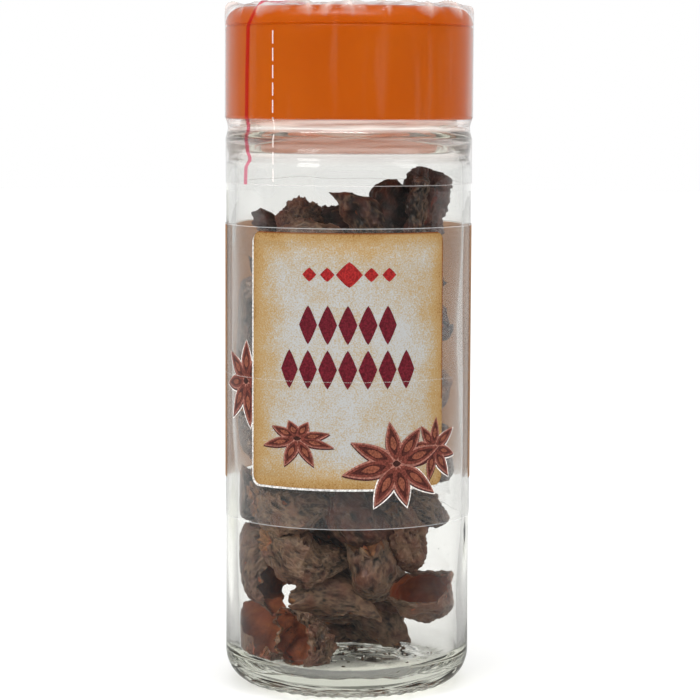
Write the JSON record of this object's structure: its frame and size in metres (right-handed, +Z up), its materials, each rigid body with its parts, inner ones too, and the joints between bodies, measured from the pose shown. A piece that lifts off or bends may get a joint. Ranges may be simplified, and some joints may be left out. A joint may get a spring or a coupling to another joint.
{
  "type": "shut glass spice jar of broken star anise",
  "caption": "Shut clear glass spice jar with a plastic cap, clear shrink seal and printed wrap-round label, holding broken star anise pods.",
  "frame": {"origin": "middle of the foot ring's plane, on the jar's axis", "axes": "+Z up along the jar's axis, -Y out of the label's front panel, +X to the right of the panel"},
  "size_m": [0.042, 0.042, 0.1159],
  "materials": {
    "glass": "clear, polished, faintly green-grey",
    "cap_plastic": "smooth moulded orange",
    "star_anise": "dry wrinkled husk, smooth red-brown inside",
    "label_film": "clear film printed with a parchment panel",
    "shrink_film": "thin clear film, crinkled over the cap"
  },
  "bodies": {
    "root": {"jar": "glass", "cap": "cap_plastic", "star_anise_heap": "star_anise", "label": "label_film", "seal_sleeve": "shrink_film"}
  },
  "joints": []
}
